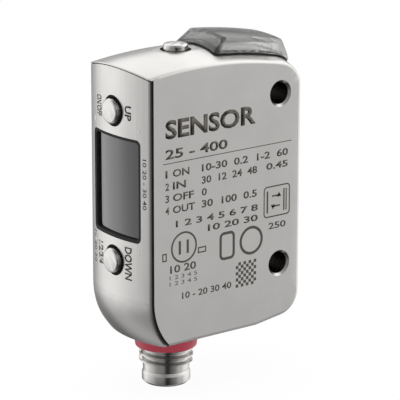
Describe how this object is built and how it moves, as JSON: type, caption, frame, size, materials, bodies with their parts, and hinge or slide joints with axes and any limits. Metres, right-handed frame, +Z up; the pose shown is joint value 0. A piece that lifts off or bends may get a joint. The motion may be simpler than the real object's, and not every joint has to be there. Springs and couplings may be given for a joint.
{
  "type": "laser photoelectric sensor",
  "caption": "Slim crowned metal laser sensor with a display window, push buttons, a tinted indicator cap, a mounting hole pair and a round plug connector.",
  "frame": {"origin": "midway between the two mounting holes, in the middle of the housing's thickness", "axes": "+X the way the laser looks, +Y across the thickness, +Z up, away from the connector"},
  "size_m": [0.029, 0.0144, 0.0512],
  "materials": {
    "case_steel": "satin stainless steel",
    "black_rubber": "matt",
    "smoked_glass": "smoked, polished",
    "black_plastic": "matt",
    "button_steel": "turned stainless steel",
    "spring_steel": "plain",
    "smoked_plastic": "translucent grey, polished",
    "clear_plastic": "frosted",
    "led_plastic": "clear dome",
    "board_green": "solder mask",
    "clear_glass": "polished",
    "brass": "turned",
    "flex_film": "satin film",
    "display_glass": "polished",
    "connector_steel": "turned, bright",
    "gold_plate": "gold plated",
    "red_rubber": "matt"
  },
  "bodies": {
    "body": {"housing": "case_steel", "rear_cover": "case_steel", "cover_gasket": "black_rubber", "display_window": "smoked_glass", "window_frame": "black_plastic", "up_button_seal": "black_rubber", "down_button_seal": "black_rubber", "set_button_seal": "black_rubber", "up_switch": "black_plastic", "down_switch": "black_plastic", "set_switch": "black_plastic", "indicator_cap": "smoked_plastic", "indicator_gasket": "black_rubber", "light_guide": "clear_plastic", "indicator_leds": "led_plastic", "indicator_board": "board_green", "front_window": "clear_glass", "front_window_gasket": "black_rubber", "optical_block": "black_plastic", "laser_lens": "clear_glass", "laser_barrel": "brass", "laser_diode": "brass", "receiver_lens": "clear_glass", "image_sensor": "black_plastic", "sensor_board": "board_green", "main_board": "board_green", "processor": "black_plastic", "display_link": "flex_film", "sensor_link": "black_plastic", "indicator_link": "black_plastic", "display_board": "board_green", "display_module": "display_glass", "connector_shell": "connector_steel", "connector_insert": "black_plastic", "connector_nut": "spring_steel", "contact_pin_1": "gold_plate", "contact_pin_2": "gold_plate", "contact_pin_3": "gold_plate", "contact_pin_4": "gold_plate", "connector_seal": "red_rubber"},
    "up_button": {"up_button": "button_steel", "up_button_clip": "spring_steel"},
    "down_button": {"down_button": "button_steel", "down_button_clip": "spring_steel"},
    "set_button": {"set_button": "button_steel", "set_button_clip": "spring_steel"}
  },
  "joints": [
    {"name": "up_button_slide", "type": "slide", "parent": "body", "child": "up_button", "axis": [1, 0, 0], "range_m": [0, 0.0004], "stiffness_N_per_m": 3000, "springref_m": -0.0003},
    {"name": "down_button_slide", "type": "slide", "parent": "body", "child": "down_button", "axis": [1, 0, 0], "range_m": [0, 0.0004], "stiffness_N_per_m": 3000, "springref_m": -0.0003},
    {"name": "set_button_slide", "type": "slide", "parent": "body", "child": "set_button", "axis": [0, 0, -1], "range_m": [0, 0.0004], "stiffness_N_per_m": 3000, "springref_m": -0.0003}
  ]
}
